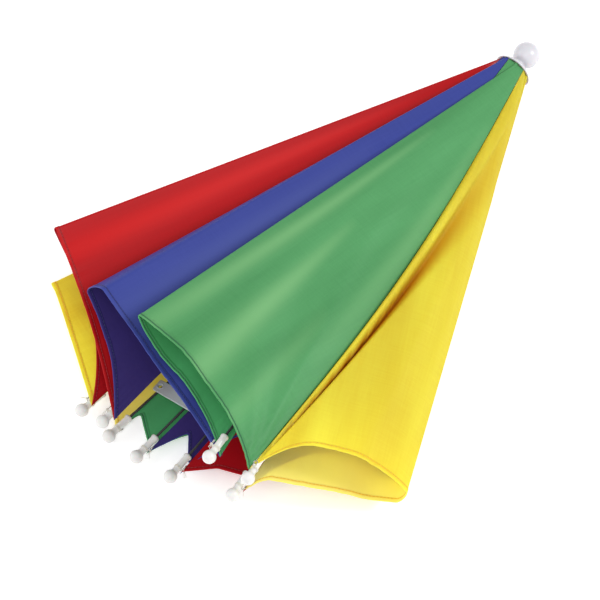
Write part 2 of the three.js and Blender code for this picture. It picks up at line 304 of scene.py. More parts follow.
def make_mesh(name, points, faces):
    """A mesh object at the origin from points in millimetres from the hub."""
    mesh = bpy.data.meshes.new(name)
    placed = (np.asarray(points, float) + hub) * MM
    mesh.from_pydata([tuple(p) for p in placed], [], [tuple(f) for f in faces])
    mesh.validate()
    mesh.update()
    mesh.shade_smooth()
    return new_object(name, mesh)


def above_floor(points):
    """The same points, none of them lower than the floor."""
    raised = np.asarray(points, float)
    raised[:, 2] = np.maximum(raised[:, 2], FLOOR_CLEARANCE - hub[2])
    return raised


def finish_piece(piece, material, slot, *nodes):
    if material is not None:
        piece.data.materials.clear()
        piece.data.materials.append(material)
    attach(piece, "root")
    if nodes:
        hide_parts(*nodes)
    return piece


def frame_of(direction):
    """Two directions square to a direction and to each other."""
    along = unit(np.asarray(direction, float))
    helper = np.array([0.0, 0.0, 1.0]) if abs(along[2]) < 0.9 else np.array([0.0, 1.0, 0.0])
    first = unit(np.cross(helper, along))
    return along, first, np.cross(along, first)


def turned(name, profile, centre, direction, sides):
    """A round solid from (distance, radius) pairs along a direction, both ends on the axis."""
    along, first, second = frame_of(direction)
    points = [centre + along * profile[0][0]]
    faces = []
    rings = profile[1:-1]
    for distance, radius in rings:
        for k in range(sides):
            angle = 2 * math.pi * k / sides
            spoke = first * math.cos(angle) + second * math.sin(angle)
            points.append(centre + along * distance + spoke * radius)
    points.append(centre + along * profile[-1][0])
    last = len(points) - 1
    for k in range(sides):
        following = (k + 1) % sides
        faces.append((0, 1 + following, 1 + k))
        for ring in range(len(rings) - 1):
            start = 1 + ring * sides
            faces.append((start + k, start + following, start + sides + following, start + sides + k))
        start = 1 + (len(rings) - 1) * sides
        faces.append((start + k, start + following, last))
    return make_mesh(name, points, faces)


def tube(points, radius, sides=8):
    """Points and faces of a round tube along a path, closed at both ends."""
    path = np.asarray(points, float)
    tangents = unit(np.gradient(path, axis=0))
    _, normal, _ = frame_of(tangents[0])
    corners = []
    faces = []
    for place, tangent in zip(path, tangents):
        normal = unit(normal - tangent * np.dot(normal, tangent))
        other = np.cross(tangent, normal)
        for k in range(sides):
            angle = 2 * math.pi * k / sides
            corners.append(place + (normal * math.cos(angle) + other * math.sin(angle)) * radius)
    for i in range(len(path) - 1):
        for k in range(sides):
            a = i * sides + k
            b = i * sides + (k + 1) % sides
            faces.append((a, b, b + sides, a + sides))
    faces.append(tuple(range(sides))[::-1])
    faces.append(tuple(len(corners) - sides + k for k in range(sides)))
    return corners, faces


def joined(parts):
    """One list of points and faces from several."""
    points = []
    faces = []
    for corners, sides in parts:
        start = len(points)
        points.extend(corners)
        faces.extend(tuple(i + start for i in side) for side in sides)
    return points, faces


# Materials

def material_nodes(name):
    material = bpy.data.materials.new(name)
    material.use_nodes = True
    tree = material.node_tree
    shader = tree.nodes["Principled BSDF"]
    return material, tree, shader


def add_node(tree, kind, **values):
    node = tree.nodes.new(kind)
    for key, value in values.items():
        if key in node.inputs:
            node.inputs[key].default_value = value
        else:
            setattr(node, key, value)
    return node


def mixed(tree, share, first, second):
    """A colour mix; first and second are colours or sockets."""
    node = tree.nodes.new("ShaderNodeMix")
    node.data_type = "RGBA"
    for socket, value in zip((node.inputs[6], node.inputs[7]), (first, second)):
        if hasattr(value, "is_linked"):
            tree.links.new(value, socket)
        else:
            socket.default_value = (*value, 1)
    if hasattr(share, "is_linked"):
        tree.links.new(share, node.inputs[0])
    else:
        node.inputs[0].default_value = share
    return node.outputs[2]


def math_node(tree, operation, *values):
    node = tree.nodes.new("ShaderNodeMath")
    node.operation = operation
    for socket, value in zip(node.inputs, values):
        if hasattr(value, "is_linked"):
            tree.links.new(value, socket)
        else:
            socket.default_value = value
    return node.outputs[0]


def scaled(tree, source, scale):
    node = add_node(tree, "ShaderNodeMapping")
    node.inputs["Scale"].default_value = scale
    tree.links.new(source, node.inputs["Vector"])
    return node.outputs["Vector"]


WEAVE_SCALE = 82.5
SLUB_SCALES = ((60, 900, 1), (900, 40, 1))
STREAK_SCALE = (38, 4.5, 1)
STREAK_GAIN = 2.2
STREAK_SHIFT = -0.85
STREAK_SHARE = 0.6
YARN_SHARE = 0.3
PALE_GAIN = 1.18
DEEP_GAIN = 0.80
# Strength of the painted highlight on the hem's rolled edge, and of the stitch line, which is thread colour
# with painted shade
HEM_HIGHLIGHT_SHARE = 0.45
STITCH_THREAD_AND_SHADE_SHARE = 0.85
SCRATCH_SCALE = (60, 2400, 2400)
KNIT_SHADE = (0.62, 0.61, 0.57)
KNIT_COLOUR = (0.82, 0.81, 0.77)


def set_inputs(node, values):
    for name, value in values.items():
        node.inputs[name].default_value = value


def attribute(tree, name):
    node = tree.nodes.new("ShaderNodeAttribute")
    node.attribute_name = name
    return node.outputs["Fac"]


def object_place(tree):
    return tree.nodes.new("ShaderNodeTexCoord").outputs["Object"]


def noise(tree, place, **values):
    node = add_node(tree, "ShaderNodeTexNoise", **values)
    tree.links.new(place, node.inputs["Vector"])
    return node.outputs["Fac"]


def coloured(tree, shader, share, colour, darker):
    """A base colour between a darker tone and the colour itself."""
    deep = tuple(c * darker for c in colour)
    tree.links.new(mixed(tree, share, deep, colour), shader.inputs["Base Color"])


def roughened(tree, shader, source, gain, least):
    rough = math_node(tree, "MULTIPLY_ADD", source, gain, least)
    tree.links.new(rough, shader.inputs["Roughness"])


def bumped(tree, shader, height, strength, distance):
    bump = add_node(tree, "ShaderNodeBump", Strength=strength, Distance=distance)
    tree.links.new(height, bump.inputs["Height"])
    tree.links.new(bump.outputs["Normal"], shader.inputs["Normal"])


def cloth_material(colour):
    """Thin plain-woven cloth: crossed threads, uneven yarns, soft sheen and some light through it; its
    colour also holds painted light and shade read from the panel's attributes.
    """
    material, tree, shader = material_nodes(f"{colour}_taffeta")
    uv = tree.nodes.new("ShaderNodeUVMap").outputs["UV"]
    grid = scaled(tree, uv, (WEAVE_SCALE, WEAVE_SCALE, 1))
    crossed = []
    for direction in ("X", "Y"):
        wave = add_node(tree, "ShaderNodeTexWave", Scale=1, bands_direction=direction)
        tree.links.new(grid, wave.inputs["Vector"])
        crossed.append(wave.outputs["Fac"])
    weave = math_node(tree, "MULTIPLY", *crossed)
    slubs = []
    for scale in SLUB_SCALES:
        slubs.append(noise(tree, scaled(tree, uv, scale), Scale=1, Detail=3, Roughness=0.6))
    yarn = math_node(tree, "ADD", *slubs)
    cloud = noise(tree, uv, Scale=14, Detail=4, Roughness=0.55)
    streak = noise(tree, scaled(tree, uv, STREAK_SCALE), Scale=1, Detail=2, Roughness=0.5)

    base = COLOURS[colour]
    pale = tuple(min(1, c * PALE_GAIN + PALER[colour]) for c in base)
    deep = tuple(c * DEEP_GAIN for c in base)
    strong = math_node(tree, "MULTIPLY_ADD", streak, STREAK_GAIN, STREAK_SHIFT)
    uneven = math_node(tree, "MULTIPLY", strong, STREAK_SHARE)
    tone = math_node(tree, "MULTIPLY_ADD", yarn, YARN_SHARE, uneven)
    tree.nodes[-1].use_clamp = True
    shown = mixed(tree, tone, deep, pale)
    # Painted light and shade on the inner face of each layer
    shown = mixed(tree, attribute(tree, "inside"), shown, INSIDE_LIGHT_AND_SHADE[colour])
    # Painted light: lighter colour in the bands on the upper panels
    if colour in PAINTED_LIGHT_COLOURS:
        shown = mixed(tree, attribute(tree, "band"), shown, PAINTED_LIGHT_COLOURS[colour])
    if colour == "yellow":
        # Painted shade in the valley beside the yellow roll: amber, then dark brown where deepest
        crease_painted_shade = attribute(tree, "crease_painted_shade")
        shown = mixed(tree, crease_painted_shade, shown, PAINTED_CREASE_AMBER)
        shown = mixed(tree, math_node(tree, "POWER", crease_painted_shade, 5), shown, PAINTED_CREASE_SHADE)
    # Painted highlight on the hem's rolled edge; the stitch line is thread colour with painted shade
    lines = (("hem_edge_highlight", HEM_HIGHLIGHT_SHARE, pale), ("stitch_line", STITCH_THREAD_AND_SHADE_SHARE, THREADS[colour]))
    for name, share, tint in lines:
        strength = math_node(tree, "MULTIPLY", attribute(tree, name), share)
        shown = mixed(tree, strength, shown, tint)
    tree.links.new(shown, shader.inputs["Base Color"])
    roughened(tree, shader, cloud, 0.16, 0.40)
    set_inputs(shader, {
        "Sheen Weight": 0.1, "Sheen Roughness": 0.4, "Sheen Tint": (*pale, 1), "Specular IOR Level": 0.22,
    })
    bumped(tree, shader, math_node(tree, "MULTIPLY_ADD", yarn, 0.35, weave), 0.35, 0.00006)

    through = tree.nodes.new("ShaderNodeBsdfTranslucent")
    tree.links.new(shown, through.inputs["Color"])
    mix = add_node(tree, "ShaderNodeMixShader")
    mix.inputs[0].default_value = THROUGH[colour]
    tree.links.new(shader.outputs[0], mix.inputs[1])
    tree.links.new(through.outputs[0], mix.inputs[2])
    output = tree.nodes["Material Output"]
    tree.links.new(mix.outputs[0], output.inputs["Surface"])
    return material


def thread_material(name, colour):
    """Twisted sewing thread, with a fine unevenness."""
    material, tree, shader = material_nodes(name)
    twist = noise(tree, object_place(tree), Scale=2600, Detail=2)
    coloured(tree, shader, twist, colour, 0.7)
    set_inputs(shader, {"Roughness": 0.6, "Sheen Weight": 0.3})
    bumped(tree, shader, twist, 0.4, 0.0001)
    return material


def plastic_material(name, colour, roughness, grain, depth):
    """Moulded plastic with a faint unevenness in its gloss."""
    material, tree, shader = material_nodes(name)
    place = object_place(tree)
    fine = noise(tree, place, Scale=grain, Detail=4, Roughness=0.6)
    coloured(tree, shader, noise(tree, place, Scale=grain / 9, Detail=3), colour, 0.93)
    roughened(tree, shader, fine, 0.14, roughness)
    set_inputs(shader, {"Subsurface Weight": 0.08, "Subsurface Scale": 0.002, "Coat Weight": 0.15})
    bumped(tree, shader, fine, 0.25, depth)
    return material


def metal_material(name, colour, roughness):
    """Drawn wire with fine lengthways scratches."""
    material, tree, shader = material_nodes(name)
    scratches = noise(tree, scaled(tree, object_place(tree), SCRATCH_SCALE), Scale=1, Detail=3)
    coloured(tree, shader, scratches, colour, 0.6)
    set_inputs(shader, {"Metallic": 0.85})
    roughened(tree, shader, scratches, 0.2, roughness)
    return material


def knit_material():
    """Ribbed elastic webbing."""
    material, tree, shader = material_nodes("white_knit")
    place = object_place(tree)
    rows = add_node(tree, "ShaderNodeTexWave", Scale=520, Distortion=0.6, bands_direction="Z")
    tree.links.new(place, rows.inputs["Vector"])
    knitted = rows.outputs["Fac"]
    yarn = noise(tree, place, Scale=1800, Detail=2)
    tree.links.new(mixed(tree, knitted, KNIT_SHADE, KNIT_COLOUR), shader.inputs["Base Color"])
    set_inputs(shader, {"Roughness": 0.85})
    bumped(tree, shader, math_node(tree, "ADD", knitted, yarn), 0.6, 0.0003)
    return material


cloths = {colour: cloth_material(colour) for colour in COLOURS}
threads = {colour: thread_material(f"{colour}_thread", THREADS[colour]) for colour in THREADS}
white_thread = thread_material("white_thread", (0.80, 0.77, 0.68))
# One white plastic in two copies: the knob, flange and notch get the first; the tips get a lighter copy,
# painted light that lifts the shade they lie in
white_plastic = plastic_material("white_plastic_gloss", (0.62, 0.61, 0.65), 0.24, 900, 0.00002)
tip_plastic_lightened = plastic_material("tip_plastic_lightened_gloss", (0.74, 0.73, 0.71), 0.30, 900, 0.00002)
grey_plastic = plastic_material("grey_plastic_satin", (0.52, 0.56, 0.57), 0.38, 1200, 0.00004)
dark_steel = metal_material("dark_steel_wire", (0.05, 0.05, 0.055), 0.35)
bright_steel = metal_material("bright_steel_ring", (0.62, 0.60, 0.55), 0.25)
knit = knit_material()


# Cloth panels

def seam_line(number, t, side):
    """Points across and above the hub of the panel's sewn edge on one rib."""
    row = RIBS[number]
    at_ring = heading(row.turn) * CLOTH_RING_RADIUS
    at_tip = heading(row.lean) * SEAM_OFFSET + tips[number][1:]
    share = t[:, None]
    facing = unit(heading(row.turn) * (1 - share) + heading(row.lean) * share)
    along = np.stack([facing[:, 1], -facing[:, 0]], axis=1)
    slack = np.sin(np.pi * share) * np.array([row.slack_side, row.slack_lift])
    slip = share ** SLIP_POWER * np.array([row.slip_side, row.slip_lift])
    return at_ring * (1 - share) + at_tip * share + along * side * SEAM_SPLIT + slack + slip


def layer_shares(count):
    """Shares across a layer, closer together at its two edges."""
    even = np.linspace(0, 1, count)
    return 0.55 * even + 0.45 * (0.5 - 0.5 * np.cos(np.pi * even))


def row_shares(stitch_line):
    """Shares along the panel, from the hub to the hem, closer together at the hem and its stitches."""
    near_line = [stitch_line + step for step in STITCH_ROWS]
    clear = [d for d in HEM_ROWS if min(abs(d - near) for near in near_line) > 0.1]
    distances = sorted(clear + near_line)
    while distances[-1] + ROW_STEP < GORE_LENGTH:
        distances.append(distances[-1] + ROW_STEP)
    return np.array([1 - d / GORE_LENGTH for d in distances] + [0.0])[::-1]


def roll_and_valley(t, distance):
    """Height of the slack roll beside the seam and of the valley next to it, in millimetres."""
    width = ROLL_WIDTH * np.sin(np.pi * t ** 0.75) ** 0.6 + ROLL_LEAST_WIDTH
    q = distance / width
    roll = np.where(q < 1, np.sin(np.pi * np.clip(q, 0, 1)) ** 0.7, 0)
    valley_width = VALLEY_WIDTH + (VALLEY_END_WIDTH - VALLEY_WIDTH) * t
    v = (q - ROLL_OVERLAP) * width / valley_width
    valley = np.where((v > 0) & (v < 1), np.sin(np.pi * np.clip(v, 0, 1) ** 0.42) ** 1.3, 0)
    fade = np.sin(np.pi * np.clip(t, 0, 1) ** 1.2) ** 0.8
    depth = VALLEY_DEPTH * (valley_width / VALLEY_WIDTH) ** 0.5
    deepest_low = np.sin(np.pi * np.clip(t, 0, 1) ** 2.2)
    return ROLL_HEIGHT * roll * fade, depth * valley * deepest_low


def smooth_line(places, heights, at, softness):
    """A line through given places, with its corners rounded."""
    shifts = np.linspace(-2, 2, 9) * softness
    weights = np.exp(-(shifts / softness) ** 2)
    return sum(w * np.interp(at + d, places, heights) for w, d in zip(weights, shifts)) / weights.sum()


def hem_reach(row, number, opening):
    """Distance of the hem from the hub in each column."""
    following = (number + 1) % len(RIBS)
    outer_layer = np.arange(len(opening)) <= LAYER_COLUMNS
    draw = np.where(outer_layer, row.draw_out, row.draw_back)
    slip = np.where(outer_layer, RIBS[number].slip_out, RIBS[following].slip_out)
    seam_end = RIB_LENGTH - TIP_TIE
    fold_end = row.reach * GORE_LENGTH
    reach = seam_end + slip * (1 - opening) ** 4 - (seam_end - fold_end) * (1 - (1 - opening) ** draw)
    if row.name in HEMS:
        places, depths = zip(*HEMS[row.name])
        end_depth = depths[-1]
        plain_end = seam_end - fold_end
        drawn = seam_end - smooth_line(places, depths, opening, HEM_SOFTNESS)
        back = reach - (end_depth - plain_end) * (1 - (1 - opening) ** HEM_RISE)
        reach = np.where(outer_layer, drawn, back)
    return reach


def gore_grid(row, number):
    """The panel's middle surface: rows from the hub to the hem, columns from seam to seam."""
    t = row_shares(STITCH_LINES[row.colour])
    share = t[:, None]
    following = (number + 1) % len(RIBS)
    start = seam_line(number, t, 1)
    end = seam_line(following, t, -1)
    between_seams = unit(heading(RIBS[number].turn) + heading(RIBS[following].turn))
    at_ring = between_seams * row.crown * FLANGE / 2
    fold = at_ring * (1 - share) + np.array([row.side, row.lift]) * RIB_LENGTH * share
    outward = unit(fold - (start + end) / 2)
    across = np.stack([-outward[:, 1], outward[:, 0]], axis=1)
    turns_left = np.sum(across * (start - end), axis=1) > 0
    across[~turns_left] *= -1
    twist = np.radians(row.twist) * t * np.where(turns_left, 1, -1)
    cos, sin = np.cos(twist)[:, None], np.sin(twist)[:, None]
    spun = [np.hstack([v[:, :1] * cos - v[:, 1:] * sin, v[:, :1] * sin + v[:, 1:] * cos])
            for v in (outward, across)]
    fold_out, fold_across = spun
    radius = FOLD_RADIUS + (max(row.mouth * RIB_LENGTH, FOLD_RADIUS) - FOLD_RADIUS) * share
    depth = np.maximum(radius * FOLD_FLATNESS, FOLD_RADIUS)
    centre = fold - fold_out * depth

    w = layer_shares(LAYER_COLUMNS + 1)
    columns = []

    def layer(near, far, bow, heights):
        for s, height in zip(w, heights):
            lift = bow * RIB_LENGTH * share * height
            columns.append(near + (far - near) * s + across * lift)

    layer(start, centre + fold_across * radius, row.bow_out, 4 * w * (1 - w))
    for k in range(1, FOLD_COLUMNS):
        angle = math.pi * k / FOLD_COLUMNS
        columns.append(centre + fold_across * radius * math.cos(angle) + fold_out * depth * math.sin(angle))
    layer(centre - fold_across * radius, end, -row.bow_back, 6.75 * w * (1 - w) ** 2)
    plane = np.stack(columns, axis=1)
    opening = np.concatenate([w, np.ones(FOLD_COLUMNS - 1), 1 - w])
    hem = -np.sqrt(hem_reach(row, number, opening) ** 2 - np.sum(plane[-1] ** 2, axis=1))
    x = CLOTH_START * (1 - share) + hem[None, :] * share
    return np.dstack([x, plane]), t, opening, outward


def normals_of(grid):
    along = np.gradient(grid, axis=0)
    across = np.gradient(grid, axis=1)
    return unit(np.cross(along, across))


def waves(grid, t, opening, row, seed):
    """Small heights that turn the plain surface into cloth: soft folds, puckers and tip gathers."""
    rng = np.random.default_rng(seed)
    columns = grid.shape[1]
    place = np.linspace(0, 2, columns)[None, :]
    share = t[:, None]
    edge = np.sin(np.pi * np.clip(opening, 0, 1))[None, :] ** 0.7
    soft = np.zeros(grid.shape[:2])
    for count in WAVE_COUNTS:
        phase = rng.uniform(0, 2 * math.pi)
        drift = rng.uniform(-WAVE_DRIFT, WAVE_DRIFT)
        soft += np.sin(2 * math.pi * (count * place / 2 + drift * share) + phase) / count
    soft *= row.wave * WAVE_GAIN * share * edge
    step = np.linalg.norm(np.diff(grid[-1], axis=0), axis=1)
    run = np.concatenate([[0], np.cumsum(step)])[None, :]
    from_hem = (1 - share) * GORE_LENGTH
    pucker = np.zeros_like(soft)
    for length in PUCKER_LENGTHS:
        phase = rng.uniform(0, 2 * math.pi)
        pucker += np.sin(2 * math.pi * run / length + phase + from_hem * PUCKER_SLANT)
    pucker *= PUCKER_HEIGHT * np.exp(-from_hem / PUCKER_REACH) * edge
    from_seam = np.minimum(run, run[0, -1] - run)
    ripple = np.sin(2 * math.pi * run / GATHER_LENGTH + rng.uniform(0, 6)) * GATHER_HEIGHT
    gather = ripple * np.exp(-np.hypot(from_hem, from_seam) / GATHER_REACH)
    gather *= 1 - np.exp(-from_seam / GATHER_START)
    folds = tip_folds(from_hem, run) * edge if row.name == FOLD_GORE else 0
    return soft + (pucker + gather) * min(1, 2 * row.wave) + folds


def tip_folds(from_hem, run):
    """Heights of the folds that spread from the first rib's tip into the outer layer."""
    away = np.hypot(from_hem, run)
    turn = np.degrees(np.arctan2(run, from_hem))
    fade = (1 - np.exp(-away / TIP_FOLDS_START)) * np.exp(-(away / TIP_FOLDS_END) ** 2)
    outer_layer = (np.arange(run.shape[1]) <= LAYER_COLUMNS)[None, :]
    height = sum(fold.height * np.exp(-((turn - fold.turn) / fold.spread) ** 2) for fold in TIP_FOLDS)
    return np.where(outer_layer, height * fade, 0)


def painted_light_bands(row, t, opening):
    """How strongly each point lies in one of the panel's bands of painted light."""
    light = np.zeros((len(t), len(opening)))
    for band in PAINTED_LIGHT_BANDS.get(row.name, []):
        along = np.clip((t - band.start) / (band.end - band.start), 0, 1)[:, None]
        centre = band.share_start + (band.share_end - band.share_start) * along
        width = band.width_start + (band.width_end - band.width_start) * along
        across = np.exp(-((opening[None, :] - centre) / width) ** 2)
        light = np.maximum(light, band.strength * across * np.sin(np.pi * along) ** 0.6)
    outer_layer = (np.arange(len(opening)) <= LAYER_COLUMNS)[None, :]
    return np.where(outer_layer, light, 0)


def hem_profile(from_hem, stitch_line):
    """Thickness of the cloth by distance from the hem: a rolled edge, a stitched groove, one layer."""
    edge = np.sqrt(np.clip(1 - (1 - np.clip(from_hem / EDGE_WIDTH, 0, 1)) ** 2, 0.06, 1))
    groove = 1 - GROOVE_DEPTH * np.exp(-((from_hem - stitch_line) / GROOVE_WIDTH) ** 2)
    rolled = HEM_THICKNESS * edge * groove
    return np.where(from_hem <= HEM_WIDTH + 0.05, rolled, CLOTH)


def gore_piece(row, number):
    grid, t, opening, outward = gore_grid(row, number)
    normal = normals_of(grid)
    middle = grid.shape[1] // 2
    facing = np.sum(normal[:, middle, 1:] * outward, axis=1).mean()
    if facing < 0:
        normal = -normal
    height = waves(grid, t, opening, row, seed=CLOTH_SEED + number)
    crease_painted_shade = np.zeros(height.shape)
    if row.name == ROLL_GORE:
        layer = np.linalg.norm(np.diff(grid, axis=1), axis=2)
        run_back = np.cumsum(layer[:, ::-1], axis=1)[:, ::-1]
        after = np.concatenate([run_back, np.zeros((len(t), 1))], axis=1)
        second = (np.arange(grid.shape[1]) > middle)[None, :]
        roll, valley = roll_and_valley(t[:, None], after)
        height = height + np.where(second, roll - valley, 0)
        # Painted shade for the valley, kept per point for the material
        shade = np.clip(valley / VALLEY_DEPTH * VALLEY_SHADE, 0, 1)
        shade *= CREASE_SHADE_START + CREASE_SHADE_GAIN * t[:, None]
        crease_painted_shade = np.where(second, np.minimum(shade, 1), 0)
    grid = grid + normal * height[:, :, None]
    normal = normals_of(grid) * (1 if facing > 0 else -1)

    from_hem = (1 - t) * GORE_LENGTH
    half = (hem_profile(from_hem, STITCH_LINES[row.colour]) / 2)[:, None, None]
    lowest = FLOOR_CLEARANCE - hub[2]
    outer = grid + normal * half
    inner = grid - normal * half
    under = np.maximum(lowest - np.minimum(outer, inner)[:, :, 2], 0)
    outer[:, :, 2] += under
    inner[:, :, 2] += under

    rows, columns = grid.shape[:2]
    points = np.concatenate([outer.reshape(-1, 3), inner.reshape(-1, 3)])
    count = rows * columns
    index = np.arange(count).reshape(rows, columns)
    a, b = index[:-1, :-1].ravel(), index[1:, :-1].ravel()
    c, d = index[1:, 1:].ravel(), index[:-1, 1:].ravel()
    quads = [np.stack([a, b, c, d], 1), np.stack([a, d, c, b], 1) + count]
    border = np.concatenate([index[:-1, 0], index[-1, :-1], index[:0:-1, -1], index[0, :0:-1]])
    after_border = np.roll(border, -1)
    quads.append(np.stack([after_border, border, border + count, after_border + count], 1))
    faces = np.concatenate(quads)
    if facing < 0:
        faces = faces[:, ::-1]
    piece = make_mesh(f"gore_{row.name}_cloth", points, faces)

    first = grid[0, middle]
    fold_way = unit(grid[-1, middle] - first)
    reach = grid - first
    v = reach @ fold_way
    u = np.sqrt(np.maximum(np.sum(reach ** 2, axis=2) - v ** 2, 0))
    u *= np.where(np.arange(columns) < middle, -1, 1)[None, :]
    flat = np.stack([u, v], axis=2).reshape(-1, 2) * MM
    flat = np.concatenate([flat, flat])
    mesh = piece.data
    corners = np.empty(len(mesh.loops), dtype=np.int64)
    mesh.loops.foreach_get("vertex_index", corners)
    mesh.uv_layers.new(name="cut").data.foreach_set("uv", flat[corners].ravel())
    # The stitch line, thread colour with painted shade, and the painted highlight on the hem's rolled edge
    line = np.exp(-((from_hem - STITCH_LINES[row.colour]) / STITCH_SHADE_WIDTH) ** 2)
    edge = np.exp(-(from_hem / EDGE_WIDTH) ** 2)
    shades = {
        # painted light and shade on the inner face
        "inside": np.concatenate([np.zeros(count), np.ones(count)]),
        # thread colour with painted shade along the stitch line
        "stitch_line": np.tile(np.repeat(line, columns), 2),
        # painted highlight on the hem's rolled edge
        "hem_edge_highlight": np.tile(np.repeat(edge, columns), 2),
        # painted shade in the yellow valley
        "crease_painted_shade": np.tile(crease_painted_shade.ravel(), 2),
        # painted light bands
        "band": np.tile(painted_light_bands(row, t, opening).ravel(), 2),
    }
    for name, values in shades.items():
        mesh.attributes.new(name, "FLOAT", "POINT").data.foreach_set("value", values)

    finish_piece(piece, cloths[row.colour], f"{row.colour}_cloth", f"gore_{row.name}")
    return piece, outer, inner, from_hem


# Stitches, made by Geometry Nodes along each hem

def stitch_tree():
    tree = bpy.data.node_groups.new("stitch_row", "GeometryNodeTree")
    face = tree.interface
    face.new_socket("Geometry", in_out="INPUT", socket_type="NodeSocketGeometry")
    for label, value in (("Pitch", STITCH_PITCH), ("Length", STITCH_LENGTH), ("Thread", STITCH_THREAD)):
        socket = face.new_socket(label, in_out="INPUT", socket_type="NodeSocketFloat")
        socket.default_value = value * MM
    face.new_socket("Material", in_out="INPUT", socket_type="NodeSocketMaterial")
    face.new_socket("Geometry", in_out="OUTPUT", socket_type="NodeSocketGeometry")
    nodes, link = tree.nodes, tree.links.new
    given = nodes.new("NodeGroupInput")
    path = nodes.new("GeometryNodeMeshToCurve")
    spread = nodes.new("GeometryNodeResampleCurve")
    spread.mode = "LENGTH"
    link(given.outputs["Geometry"], path.inputs["Mesh"])
    link(path.outputs["Curve"], spread.inputs["Curve"])
    link(given.outputs["Pitch"], spread.inputs["Length"])
    ball = nodes.new("GeometryNodeMeshUVSphere")
    set_inputs(ball, {"Segments": 6, "Rings": 6, "Radius": 0.5})
    size = nodes.new("ShaderNodeCombineXYZ")
    link(given.outputs["Thread"], size.inputs["X"])
    link(given.outputs["Thread"], size.inputs["Y"])
    link(given.outputs["Length"], size.inputs["Z"])
    stretch = nodes.new("GeometryNodeTransform")
    link(ball.outputs["Mesh"], stretch.inputs["Geometry"])
    link(size.outputs["Vector"], stretch.inputs["Scale"])
    tangent = nodes.new("GeometryNodeInputTangent")
    align = nodes.new("FunctionNodeAlignEulerToVector")
    align.axis = "Z"
    link(tangent.outputs["Tangent"], align.inputs["Vector"])
    place = nodes.new("GeometryNodeInstanceOnPoints")
    link(spread.outputs["Curve"], place.inputs["Points"])
    link(stretch.outputs["Geometry"], place.inputs["Instance"])
    link(align.outputs["Rotation"], place.inputs["Rotation"])
    real = nodes.new("GeometryNodeRealizeInstances")
    link(place.outputs["Instances"], real.inputs["Geometry"])
    smooth = nodes.new("GeometryNodeSetShadeSmooth")
    link(real.outputs["Geometry"], smooth.inputs["Geometry"])
    paint = nodes.new("GeometryNodeSetMaterial")
    link(smooth.outputs["Geometry"], paint.inputs["Geometry"])
    link(given.outputs["Material"], paint.inputs["Material"])
    result = nodes.new("NodeGroupOutput")
    link(paint.outputs["Geometry"], result.inputs["Geometry"])
    return tree


def socket_name(tree, label):
    return next(s.identifier for s in tree.interface.items_tree if s.name == label and s.in_out == "INPUT")


stitches = stitch_tree()


def path_mesh(name, paths):
    points = []
    edges = []
    for path in paths:
        start = len(points)
        points.extend(path)
        edges.extend((start + k, start + k + 1) for k in range(len(path) - 1))
    mesh = bpy.data.meshes.new(name)
    mesh.from_pydata([tuple((p + hub) * MM) for p in points], edges, [])
    return new_object(name, mesh)


def stitched(name, paths, material, slot):
    """Rows of thread along paths that lie on the cloth."""
    guide = path_mesh(f"{name}_path", paths)
    modifier = guide.modifiers.new("stitches", "NODES")
    modifier.node_group = stitches
    modifier[socket_name(stitches, "Material")] = material
    view = bpy.context.evaluated_depsgraph_get()
    mesh = bpy.data.meshes.new_from_object(guide.evaluated_get(view))
    mesh.name = name
    piece = new_object(name, mesh)
    bpy.data.objects.remove(guide)
    return finish_piece(piece, None, slot)


def hem_stitches(row, outer, inner, from_hem):
    line = int(np.argmin(np.abs(from_hem - STITCH_LINES[row.colour])))
    shown = slice(0, LAYER_COLUMNS // 3) if row.name.endswith("under") else slice(None)
    paths = []
    for side, other in ((outer, inner), (inner, outer)):
        out = unit(side[line] - other[line])
        paths.append((side[line] + out * STITCH_THREAD * 0.2)[shown])
    return stitched(f"hem_stitches_{row.name}", paths, threads[row.colour], f"{row.colour}_cloth")


for number, row in enumerate(GORES):
    piece, outer, inner, from_hem = gore_piece(row, number)
    sewn = hem_stitches(row, outer, inner, from_hem)


# Crown

def ball_arc(centre, radius, meet, steps):
    return [
        (centre - radius * math.cos(a), radius * math.sin(a))
        for a in (meet + (math.pi - meet) * k / steps for k in range(steps))
    ] + [(centre + radius, 0)]


KNOB_SIDES = 96
KNOB_STEPS = 40
NOTCH_SIDES = 48
TIP_SIDES = 48
TIP_STEPS = 26
ROD_SIDES = 20
ROD_BEVEL = 0.3
NOTCH_BEVEL = 0.4
NECK_FLARE = ((0, 0.5), (0.4, 0.1), (1.3, 0))
NECK_MEETS = 0.15
LIP_DROP = 0.05

ORIGIN = np.zeros(3)
ALONG_X = np.array([1.0, 0.0, 0.0])


def crown_knob():
    ball, neck = KNOB / 2, KNOB_NECK / 2
    start = FLANGE_WALL + GAP
    reach = math.sqrt(ball ** 2 - neck ** 2)
    centre = start + KNOB_NECK_LENGTH + reach
    profile = [(start, 0)] + [(start + along, neck + out) for along, out in NECK_FLARE]
    profile += ball_arc(centre, ball, math.asin((neck + NECK_MEETS) / ball), KNOB_STEPS)
    piece = turned("crown_knob_turned", profile, ORIGIN, ALONG_X, KNOB_SIDES)
    return finish_piece(piece, white_plastic, "white_plastic", "crown_knob")


def crown_flange():
    rim = FLANGE / 2
    flat = KNOB_NECK / 2 + FLANGE_LIP
    steps = 24
    front = []
    back = []
    for k in range(steps + 1):
        out = k / steps
        front.append((FLANGE_WALL - (FLANGE_FLARE + FLANGE_WALL) * out ** 2, flat + (rim - flat) * out))
        back.append((-FLANGE_FLARE * out ** 2, flat + (rim - FLANGE_WALL - flat) * out))
    lowest = -FLANGE_FLARE - LIP_DROP
    lip = [(lowest, rim - 0.35), (lowest, rim - FLANGE_WALL + 0.3)]
    profile = [(FLANGE_WALL, 0)] + front + lip + back[::-1] + [(0, 0)]
    piece = turned("crown_flange_turned", profile[::-1], ORIGIN, ALONG_X, KNOB_SIDES)
    return finish_piece(piece, white_plastic, "white_plastic", "crown_flange")


